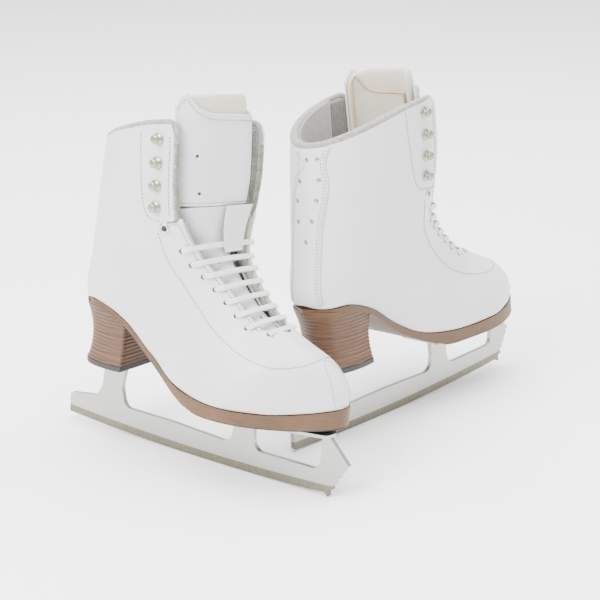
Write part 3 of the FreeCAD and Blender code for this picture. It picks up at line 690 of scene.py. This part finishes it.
def lining(skate):
    """Waffle mesh inside the boot, open at the collar and under the facing, and felt at the collar."""
    def front(place):
        behind = throat(place) - 0.095
        if place < FLAP_END:
            behind = FLAP_FRONT - 0.012
        return lerp(behind, 0.985, min(max(place - 9.15, 0), 1))

    def side(sign):
        def point(s, t):
            place = lerp(collar_place(sign * t * FLAP_FRONT) + 0.05, 12.3, s)
            return skin(place, sign * max(t * front(place), 1e-4), LINING_DEPTH)
        return patch(point, 110, 46)
    cloth = skate.piece("lining", gather([side(sign) for sign in SIDES.values()]), waffle(skate.name),
                        "lining_mesh", replaces=("outer_lining", "inner_lining"), weld=0.15)
    thicken(cloth, 2.7)

    def felt(s, t):
        around = lerp(-0.6, 0.6, t)
        return skin(collar_place(around) - 0.06 + 1.45 * s, around or 1e-4, COLLAR_LINING_DEPTH)
    collar = skate.piece("collar_lining", patch(felt, 30, 60), SOFT_FELT, "grey_felt")
    thicken(collar, 0.7)


def binding_path():
    """Round the opening, up one flap and down the other, with 1 where the binding is padded."""
    half = []
    for sign in SIDES.values():
        run = []
        top = collar_place(sign * FLAP_FRONT) + 0.1
        for k in range(28):
            place = lerp(FLAP_END - 0.02, top, k / 27)
            run.append((place, sign * (FLAP_FRONT - 0.004), 0.0))
        for k in range(1, 46):
            around = lerp(FLAP_FRONT - 0.004, 0, k / 45)
            run.append((collar_place(sign * around), sign * around, smooth((0.72 - around) / 0.6)))
        half.append(run)
    return half[0] + half[1][-2::-1]


def binding(skate):
    """Felt binding: narrow down the flap fronts, a speckled band on the flap tops, padded behind."""
    path = binding_path()
    depths = [lerp(2.1, 3.2, smooth(back * 4)) for place, around, back in path]
    centres = [skin(place, around or 1e-4, depth) for (place, around, back), depth in zip(path, depths)]

    rings = []
    for k, ((place, around, back), depth, here) in enumerate(zip(path, depths, centres)):
        normal = frame_on(max(place, 0.2), around or 1e-4, depth)[1]
        out = heading(centres, k).cross(normal).normalized()
        inside = skin(place + 0.6, around * 0.8 or 1e-4, depth)
        if out.dot(here - inside) < 0:
            out = -out
        rise = lerp(2.4, 3.6, back)
        ring = []
        for angle in turns(16):
            flat = abs(math.sin(angle)) ** 0.75 * math.copysign(1, math.sin(angle))
            ring.append(here + out * (rise * 0.5 - 1.3 + math.cos(angle) * (rise * 0.5 + 1.3))
                        + normal * (flat * (depth + 0.2)))
        rings.append(ring)
    band = skate.piece("collar_binding", tube(rings), FELT, "grey_felt", replaces=("collar_padding",))


def felt_edges(skate):
    """The raw felted edge down the front of each flap, hooking back at the notch."""
    for name, sign in SIDES.items():
        route = [(lerp(collar_place(sign * FLAP_FRONT) + 0.35, FLAP_END - 0.06, k / 30),
                  sign * (FLAP_FRONT + 0.004)) for k in range(31)]
        route += [(FLAP_END + 0.05, sign * (FLAP_FRONT - 0.012 - 0.014 * k)) for k in range(4)]
        skate.piece("%s_flap_edge" % name, edge_bead(route, 1.7, 1.9, 2.0), EDGE_FELT, "grey_felt")


def hump(place, middle, spread):
    """A smooth rise to 1 at middle, fading over spread."""
    return math.exp(-((place - middle) / spread) ** 2)


def backstay_around(place, t):
    """The strip over the back seam: flared at the collar, a narrow neck, then a long waist."""
    middle = 0.01 + 0.044 * hump(place, 1.6, 1.1) + 0.015 * hump(place, 5.0, 0.6)
    half = 0.094 + 0.022 * hump(place, 1.05, 0.2) - 0.018 * hump(place, 1.6, 0.28)
    half += 0.012 * hump(place, 2.4, 0.5)
    return middle + half * lerp(-1, 1, t)


BACKSTAY_TOP = 1.15
BACKSTAY_END = 4.97
BACKSTAY_DEPTH = -1.25
VENT_RING = ((1.15, 0.1), (1.3, 0.32), (1.6, 0.36), (1.85, 0.12), (1.85, -0.3))
VENT_HOLE = ((1.25, 0.08), (1.25, -0.4))
VENTS = ((1.46, -0.036), (1.44, 0.030), (2.0, -0.055), (1.96, 0.045), (2.47, -0.055), (2.44, 0.045),
         (2.95, -0.036), (2.92, 0.028), (3.44, 0.0))


def backstay(skate):
    """Strip over the back seam with its stitch rows and metal-lined vents."""
    def point(s, t):
        place = lerp(collar_place(backstay_around(BACKSTAY_TOP, t)) + 0.03, BACKSTAY_END, s)
        return skin(place, backstay_around(place, t) or 1e-4, BACKSTAY_DEPTH)
    strip = skate.piece("backstay", patch(point, 90, 27), LEATHER, "white_leather",
                        replaces=("backstay",), weld=0.02)
    thicken(strip, 1.2, 0.35)
    rows = []
    for edge in (0, 1):
        for inset in (0.011, 0.026):
            top = collar_place(backstay_around(BACKSTAY_TOP, edge)) + 0.1
            places = [lerp(top, BACKSTAY_END - 0.07, k / 60) for k in range(61)]
            line = [(place, backstay_around(place, edge) + inset * (1 - 2 * edge)) for place in places]
            rows.append(stitch_row(skin_row(line, BACKSTAY_DEPTH - 0.05), 2.6, 1.5, 0.32))
    skate.piece("backstay_stitches", gather(rows), THREAD_PAINTED_SHADE, "white_leather")
    rings, hole_shades = [], []
    for place, aside in VENTS:
        vent = frame_on(place, backstay_around(place, 0.5) + aside, BACKSTAY_DEPTH)
        rings.append(lathe(VENT_RING, *vent, 18))
        hole_shades.append(lathe(VENT_HOLE, *vent, 14))
    skate.piece("vent_rings", gather(rings), NICKEL, "nickel")
    skate.piece("vent_holes", gather(hole_shades), HOLE_SHADE, "black_rubber")


# Stitch rows of one quarter as (place, around) corners, each with its pitch, stitch length and radius.
COARSE = (2.7, 1.8, 0.34)
FINE = (2.2, 1.4, 0.28)
BEHIND_HOOKS = ((0.78, 0.545), (1.3, 0.55), (1.9, 0.562), (2.5, 0.577), (3.0, 0.597), (3.3, 0.632),
                (3.45, 0.69))
FLAP_ROW = ((0.95, 0.735), (1.7, 0.735), (2.5, 0.735), (3.25, 0.735))
EYESTAY_ROW = ((3.62, 0.71), (3.63, 0.755), (3.75, 0.779),
               *((place, throat(place) - 0.018) for place in (4.2, 5, 6, 7, 8, 8.7)))
VAMP_ROW = ((3.82, 0.662), (4.3, 0.672), (5.2, 0.672), (6.1, 0.645), (7.0, 0.622), (8.0, 0.615),
            (9.0, 0.63), (9.8, 0.65), (10.5, 0.69), (11.0, 0.78), (11.2, 0.88), (11.25, 0.995))
TOE_ROW = ((11.32, 0.995), (11.85, 0.9), (12.35, 0.8), (12.7, 0.6), (12.84, 0.3), (12.86, 0.02))
SEAMS = ((BEHIND_HOOKS, COARSE), (FLAP_ROW, COARSE), (EYESTAY_ROW, COARSE), (VAMP_ROW, COARSE),
         (TOE_ROW, FINE))


def seams(skate):
    """Stitch rows of the flaps, the eyestays and the toe."""
    parts = []
    for sign in SIDES.values():
        for corners, stitch in SEAMS:
            spots = curve_through([Vector((place, around, 0)) for place, around in corners], 12)
            parts.append(stitch_row(skin_row([(p.x, sign * p.y) for p in spots]), *stitch))
    skate.piece("upper_stitches", gather(parts), THREAD_PAINTED_SHADE, "white_leather")


# ---------------------------------------------------------------- tongue

# Places along the boot: the fold, the top of the lacing, the widest part and the two ends.
FOLD = 3.04
LACED = 4.4
TONGUE_WIDEST = 6
TONGUE_TOP = -0.22
TONGUE_END = 9.8
LOWER_TOP = FOLD + 0.035
# Depths under the skin at the fold, at the top of the lacing and at the lower end, in mm.
FOLD_DEEP = 8.5
LACED_DEEP = 15.6
END_DEEP = 7.6
# Across the tongue: where its outer peak starts, and half the width of its rear panel.
PEAK = -0.65
REAR_HALF = 0.86
REAR_FOOT = FOLD - 0.15
# Pin holes as (place, across), and the turned outlines in mm as (radius, height) of the dark discs painted as
# their shade.
UPPER_PINS = ((1.5, -0.38), (2.6, -0.33), (1.5, 0.62), (2.6, 0.6))
LOWER_PINS = ((5.34, -0.19), (5.9, 0.3), (7.18, -0.02), (8.1, -0.1), (8.5, -0.42), (8.75, 0.33))
PIN_HOLE = ((1.15, 0.1), (1.3, 0.05), (1.3, -0.3))
SMALL_PIN_HOLE = ((0.8, 0.1), (0.9, 0.05), (0.9, -0.3))


def tongue_deep(place):
    """How far the tongue's face lies below the skin: deepest under the top of the lacing."""
    if place < LACED:
        return lerp(FOLD_DEEP, LACED_DEEP, min(max((place - FOLD) / (LACED - FOLD), 0), 1))
    return lerp(LACED_DEEP, END_DEEP, (place - LACED) / (TONGUE_END - LACED))


def tongue_reach(place):
    """Share of the girth that the tongue covers on each side of its middle."""
    if place < TONGUE_WIDEST:
        return lerp(0.262, 0.36, min(max((place - FOLD) / 2, 0), 1))
    return lerp(0.36, 0.24, (place - TONGUE_WIDEST) / (TONGUE_END - TONGUE_WIDEST))


def on_tongue(place, across, depth=0.0):
    """A point of the tongue: across runs from -1 (outer edge) to 1 (inner edge)."""
    around = 1 - tongue_reach(place) * abs(across)
    return skin(place, math.copysign(around, across), tongue_deep(place) + depth)


def tongue_top(across):
    """Top edge of the tongue's leather: a peak near the outer edge and a long dip inwards."""
    if across < PEAK:
        return TONGUE_TOP + 0.05 + 0.42 * ((PEAK - across) / (1 + PEAK)) ** 2
    drop = min((across - PEAK) / 0.95, 1)
    back_up = max(across - 0.3, 0) / 0.7
    return TONGUE_TOP + 0.05 + 0.62 * (1 - (1 - drop) ** 2.7) - 0.20 * back_up ** 2


def backing_top(across):
    """Top edge of the cream backing: level, with a rounded inner corner."""
    if across < PEAK:
        return tongue_top(across) + 0.03
    return TONGUE_TOP + 0.08 - 0.05 * (across - PEAK) + 0.30 * max(0, (across - 0.78) / 0.22) ** 2.5


def rear_top(across):
    """Top edge of the rear panel, a little below the edge of the leather."""
    return tongue_top(across) + 0.12


def tongue_foot(across):
    """Lower edge of the upper panel, slightly rounded."""
    return FOLD - 0.10 * across * across


def tongue_mark(place, across, depth=-0.1):
    """A point on the tongue with its outward normal."""
    here = on_tongue(place, across, depth)
    side = on_tongue(place, across + 0.02, depth) - here
    down = on_tongue(place + 0.03, across, depth) - here
    normal = side.cross(down).normalized()
    return here, normal if normal.x > 0 else -normal


def across_run(count, edge):
    """Even steps across the tongue from -edge to edge."""
    return [lerp(-edge, edge, k / count) for k in range(count + 1)]


def tongue_panel(skate):
    """The upper panel of the tongue with its piping, stitches and pin holes."""
    def face(s, t):
        across = 2 * t - 1
        return on_tongue(lerp(tongue_top(across), tongue_foot(across), s), across)
    panel = skate.piece("tongue_panel", patch(face, 60, 61, turned=True), TONGUE_LEATHER_PAINTED_SHADE,
                        "white_leather", "tongue", replaces=("tongue_upper",))
    thicken(panel, 2.2, 0.5)
    piping = [on_tongue(tongue_top(a), a, 0.7) for a in across_run(80, 0.985)]
    skate.piece("tongue_piping", cord(piping, 1.1), TONGUE_LEATHER_PAINTED_SHADE, "white_leather", "tongue")
    rows = [[tongue_mark(tongue_top(a) + 0.13, a) for a in across_run(60, 0.93)],
            [tongue_mark(tongue_foot(a) - 0.11, a) for a in across_run(60, 0.95)]]
    stitches = gather([stitch_row(row, 2.5, 1.6, 0.32) for row in rows])
    skate.piece("tongue_stitches", stitches, THREAD_PAINTED_SHADE, "white_leather", "tongue")
    pins = gather([lathe(PIN_HOLE, *tongue_mark(place, across, 0), 16) for place, across in UPPER_PINS])
    skate.piece("tongue_pinholes", pins, HOLE_SHADE, "black_rubber", "tongue")


def tongue_pad(skate):
    """The cream foam pad with a level top, and its dipped rear panel edged in tan."""
    def pad_face(outer):
        def point(s, t):
            across = (2 * t - 1) * 0.97
            place = lerp(backing_top(across), FOLD - 0.06, s)
            edge = (1 - abs(2 * t - 1) ** 6) ** 0.5 * (1 - (1 - s) ** 24) ** 0.5 * (1 - s ** 16) ** 0.5
            half = 2.6 * edge * (-1 if outer else 1)
            return on_tongue(place, across, 5.0 + half)
        return patch(point, 60, 45, turned=outer)
    pad = skate.piece("tongue_pad", gather([pad_face(True), pad_face(False)]), CREAM, "cream_pad",
                      "tongue", replaces=("tongue_padding",), weld=0.3)

    def rear(s, t):
        across = (2 * t - 1) * REAR_HALF
        place = lerp(rear_top(across), REAR_FOOT, s)
        return on_tongue(place, across, 7.6 + 0.5 * math.sin(math.pi * s))
    panel = skate.piece("tongue_rear_panel", patch(rear, 50, 41, turned=True), CREAM, "cream_pad", "tongue")
    thicken(panel, 0.9)
    outline = [(lerp(REAR_FOOT, rear_top(-REAR_HALF), k / 40), -REAR_HALF) for k in range(40)]
    outline += [(rear_top(across), across) for across in across_run(60, REAR_HALF)]
    outline += [(lerp(rear_top(REAR_HALF), REAR_FOOT, k / 40), REAR_HALF) for k in range(1, 41)]
    piping = cord([on_tongue(place, across, 8.4) for place, across in outline], 0.9)
    skate.piece("tongue_rear_piping", piping, CREAM_DARK, "cream_pad", "tongue")


def tongue_lower(skate):
    """The lower tongue under the lacing, with its pin holes, and the flat keeper strap."""
    def face(s, t):
        return on_tongue(lerp(LOWER_TOP, TONGUE_END, s), 2 * t - 1)
    lower = skate.piece("tongue_lower", patch(face, 90, 41, turned=True), TONGUE_LEATHER_PAINTED_SHADE,
                        "white_leather", replaces=("tongue_lower",))
    thicken(lower, 2.3, 0.4)
    pins = gather([lathe(SMALL_PIN_HOLE, *tongue_mark(place, across, 0), 14) for place, across in LOWER_PINS])
    skate.piece("tongue_lower_pinholes", pins, HOLE_SHADE, "black_rubber")

    def keeper(s, t):
        place = lerp(LOWER_TOP, FOLD + 1.9, s)
        across = (1 + lerp(-0.04, 0.6, t)) / 2
        out = (skin(place, 1) - skin(place, 1e-4)).normalized()
        return skin(place, -0.79).lerp(skin(place, 0.79), across) + out * lerp(9.0, 4.3, s)
    strap = skate.piece("lace_keeper", patch(keeper, 24, 9, turned=True), TONGUE_LEATHER_PAINTED_SHADE,
                        "white_leather", replaces=("lace_keeper",))
    thicken(strap, 1.2, 0.3)


# ---------------------------------------------------------------- laces and fittings

HOLES = [9.0 - 0.625 * k for k in range(8)]
HOLE_BEHIND = 0.062
LACE_HOLE = ((1.5, 0.12), (1.9, 0.05), (1.9, -0.3))
BAR_DEPTH = -1.3
HOLE_DEPTH = 1.0
INSIDE_DEPTH = 5.4
# A tucked end's last points: place past the last hole, around and depth.
TUCK = ((0.15, 0.745, 9.2), (0.5, 0.7, 9.6), (1.0, 0.62, 9.8))


def hole_around(place):
    return throat(place) - HOLE_BEHIND


def hole_point(k, side, depth):
    """A point in line with lace hole k on one side, at a depth."""
    return skin(HOLES[k], side * hole_around(HOLES[k]), depth)


def through_hole(k, side):
    """Two points that take the lace in through hole k."""
    return [hole_point(k, side, HOLE_DEPTH), hole_point(k, side, INSIDE_DEPTH)]


def ribbon(path, flat_way, width, thickness):
    """A flat lace along a path; flat_way is the direction its width lies in."""
    rings = []
    for k, centre in enumerate(path):
        run = heading(path, k)
        wide = (flat_way - run * flat_way.dot(run)).normalized() * (width(k / (len(path) - 1)) / 2)
        up = run.cross(wide).normalized() * (thickness / 2)
        rings.append([centre + wide * math.copysign(abs(math.cos(a)) ** 0.6, math.cos(a))
                      + up * math.copysign(abs(math.sin(a)) ** 0.8, math.sin(a)) for a in turns(12, 0.5)])
    return tube(rings)


def bar_width(u):
    """Width of a bar of lace: narrow in its holes, wide between the edges."""
    return 2.4 + 1.9 * smooth(min(u, 1 - u) * 7)


def laces(skate):
    """Straight-bar lacing with a flat lace; its two ends are tucked inside the boot."""
    parts = []
    for k, place in enumerate(HOLES):
        edge = throat(min(place, 8.85)) - 0.012
        ends = [hole_point(k, side, 0.6) for side in (-1, 1)]
        outs = [hole_point(k, side, BAR_DEPTH).lerp(skin(place, side * edge, BAR_DEPTH), 0.28)
                for side in (-1, 1)]
        tops = [skin(place, side * edge, BAR_DEPTH - 0.2) for side in (-1, 1)]
        middle = (tops[0] + tops[1]) / 2 + Vector((0.9, 0, 0.9))
        way = (skin(place + 0.3, 1.0) - skin(place - 0.3, 1.0)).normalized()
        way += Vector((0, 0.10 * math.sin(2.3 * k + 0.6), 0))
        path = curve_through([ends[0], outs[0], tops[0], middle, tops[1], outs[1], ends[1]], 7)
        parts.append(ribbon(path, way.normalized(), bar_width, 1.25))
    across = Vector((0, 1, 0))
    for start, holes in ((-1, (2, 4, 6)), (1, (1, 3, 5, 7))):
        side, before = start, 0
        for k in holes:
            path = curve_through(through_hole(before, side) + through_hole(k, side)[::-1], 6)
            parts.append(ribbon(path, across, lambda u: 3.2, 1.2))
            side, before = -side, k
        tucked = [skin(HOLES[before] + past, side * around, depth) for past, around, depth in TUCK]
        path = curve_through(through_hole(before, side) + tucked, 8)
        parts.append(ribbon(path, across, lambda u: 3.4, 1.2))
    skate.piece("lace", gather(parts), LACE, "lace_cotton", replaces=("lace",))
    hole_shades = []
    for place in HOLES:
        for side in SIDES.values():
            hole_shades.append(lathe(LACE_HOLE, *frame_on(place, side * hole_around(place)), 14))
    skate.piece("lace_holes", gather(hole_shades), HOLE_SHADE, "black_rubber")


# Turned outlines in mm as (radius, height above the leather).
HOOK = ((0.4, -1.5), (4.4, 0.02), (4.5, 0.4), (4.1, 0.9), (2.9, 1.15), (1.9, 1.7), (1.75, 3.5),
        (2.2, 3.75), (3.0, 3.8), (3.3, 4.1), (3.3, 5.5), (3.0, 6.0), (2.3, 6.25), (0.5, 6.35))
EYELET = ((2.1, -0.6), (2.1, 0.5), (2.6, 0.95), (3.5, 1.0), (4.2, 0.55), (4.3, -0.2))
EYELET_HOLE = ((2.15, 0.25), (2.15, -0.5))
HOOK_PLACES = (1.02, 1.66, 2.29, 2.93)
HOOK_AROUND = 0.66
EYELET_PLACE = 3.72
EYELET_AROUND = 0.70


def fittings(skate):
    """Hooks with domed knobs, and the white-ringed eyelets below them."""
    hooks, rings, hole_shades = [], [], []
    for side in SIDES.values():
        hooks += [lathe(HOOK, *frame_on(place, side * HOOK_AROUND), 28) for place in HOOK_PLACES]
        eyelet = frame_on(EYELET_PLACE, side * EYELET_AROUND)
        rings.append(lathe(EYELET, *eyelet, 28))
        hole_shades.append(lathe(EYELET_HOLE, *eyelet, 20))
    skate.piece("lace_hooks", gather(hooks), NICKEL, "nickel", replaces=("lace_hooks",))
    skate.piece("eyelets", gather(rings), SILVER, "nickel", replaces=("eyelets",))
    skate.piece("eyelet_holes", gather(hole_shades), HOLE_SHADE, "black_rubber")


# ---------------------------------------------------------------- heel and footbed

HEEL_LOW = 64.0
HEEL_TALL = 46
HEEL_LAYERS = 16
FOOTBED_BACK = 5.6
FOOTBED_FRONT = 12.55


def sole_under(x):
    """Height of the sole's underside above the heel."""
    if x < 50:
        return lerp(110.5, 108.8, smooth((x - 16) / 34))
    return lerp(108.8, 98, ((x - 50) / 28) ** 1.25)


def heel(skate):
    """The stacked heel: flared, waisted, and ridged where its leather layers meet."""
    layer = HEEL_LAYER / MM
    levels = []
    for k in range(HEEL_LAYERS):
        base = HEEL_LOW + k * layer
        levels += [(base + 0.02, -0.38), (base + 0.45, 0.0), (base + 1.5, 0.12), (base + layer - 0.45, 0.0)]
    rings = []
    for z, ridge in levels:
        up = (z - HEEL_LOW) / HEEL_TALL
        waist = max(1 - (2 * up - 0.95) ** 2, 0)
        back = lerp(26.5, 24.8, up) + 4.6 * waist - ridge
        half = 27 - 3.2 * waist + ridge
        breast = lerp(73.5, 76.5, up) - 1.6 * waist + ridge
        rim = [Vector((breast, -half * 0.96)), Vector(((back + breast) / 2 + 4, -half)),
               Vector((lerp(back, breast, 0.17), -half * 0.76)), Vector((back, 0)),
               Vector((lerp(back, breast, 0.17), half * 0.76)), Vector(((back + breast) / 2 + 4, half)),
               Vector((breast, half * 0.96))]
        ring = curve_through([p.to_3d() for p in rim], 9)
        ring += [ring[-1].lerp(ring[0], k / 8) for k in range(1, 8)]
        rings.append([Vector((p.x, p.y, min(z, sole_under(p.x) + 1.8))) for p in ring])
    skate.piece("heel_stack", tube(rings), stacked_leather(skate.name), "stacked_leather",
                replaces=("heel_stack",))


def footbed(skate):
    """The cloth-covered footbed, cupped at its sides and heel."""
    def top(s, t):
        place = lerp(FOOTBED_BACK, FOOTBED_FRONT, s)
        across = 2 * t - 1
        name = "outer" if across < 0 else "inner"
        half = max(along(name + "_edge", place) - 7.6, 1.0)
        cup = 2.6 * abs(across) ** 3
        back = 5.5 * (1 - smooth((place - FOOTBED_BACK) * 2)) * across * across
        return Vector((along("seat_x", place) + back, along("middle_y", place) + across * half,
                       along("seat_z", place) + 6.6 + cup))
    bed = skate.piece("footbed", patch(top, 60, 21, turned=True), FOOTBED, "footbed_foam",
                      replaces=("footbed",))
    thicken(bed, 2.6, 0.5)


# ---------------------------------------------------------------- the CAD pieces that stay

def dress(skate):
    """Finishes for the CAD pieces whose shape is already right, with softened edges."""
    blade = blade_steel(skate.name)
    finishes = {
        "outsole": (sole_leather(skate.name), 0.5), "sole_base_layer": (RUBBER, 0.2),
        "heel_lift": (RUBBER, 0.4), "blade_runner": (blade, 0.35), "heel_plate": (blade, 0.4),
        "sole_plate": (blade, 0.4), "heel_screws": (SCREW, 0), "sole_screws": (SCREW, 0),
        "shank": (SCREW, 0), "insole_board": (STIFF, 0), "heel_counter": (STIFF, 0),
        "toe_box": (STIFF, 0), "outer_facing": (STIFF, 0), "inner_facing": (STIFF, 0),
        "lace_tips": (THREAD_PAINTED_SHADE, 0),
    }
    for node, (finish, bevel) in finishes.items():
        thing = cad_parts["%s_%s" % (skate.name, node)]
        if not thing.material_slots:
            thing.data.materials.append(finish)
        for slot in thing.material_slots:
            slot.link = "OBJECT"
            slot.material = finish
        if bevel:
            soften(thing, bevel, 40)


for side_name in ("right", "left"):
    one = Skate(side_name)
    for build in (upper, eyestay_edge, lining, binding, felt_edges, backstay, seams, tongue_panel,
                  tongue_pad, tongue_lower, laces, fittings, heel, footbed, dress):
        build(one)


# ---------------------------------------------------------------- studio

def studio():
    """A pale floor under a white sky, with three soft lamps."""
    floor_mesh = bpy.data.meshes.new("floor")
    floor_mesh.from_pydata([(-6, -6, -0.0002), (6, -6, -0.0002), (6, 6, -0.0002), (-6, 6, -0.0002)],
                           [], [(0, 1, 2, 3)])
    floor = bpy.data.objects.new("floor", floor_mesh)
    bpy.context.collection.objects.link(floor)
    paint = Paint("floor_white", roughness=0.9)
    paint.colour(paint.ramp(paint.noise(3), (0.3, (0.93, 0.93, 0.93)), (0.7, (0.95, 0.95, 0.95))))
    floor_mesh.materials.append(paint.material)
    world = bpy.data.worlds.new("studio")
    world.use_nodes = True
    world.node_tree.nodes["Background"].inputs["Color"].default_value = (1, 1, 1, 1)
    world.node_tree.nodes["Background"].inputs["Strength"].default_value = 1.75
    bpy.context.scene.world = world
    for name, place, size, power in (
            ("key", (-1.3, -1.2, 1.5), 1.2, 95), ("fill", (1.6, -1.2, 1.2), 1.6, 12),
            ("top", (0.1, 0.3, 2.1), 2.2, 140)):
        data = bpy.data.lights.new(name, "AREA")
        data.size = size
        data.energy = power
        light = bpy.data.objects.new(name, data)
        light.location = place
        aim = Vector((0, 0, 0.12)) - light.location
        light.rotation_euler = aim.to_track_quat("-Z", "Y").to_euler()
        bpy.context.collection.objects.link(light)


studio()
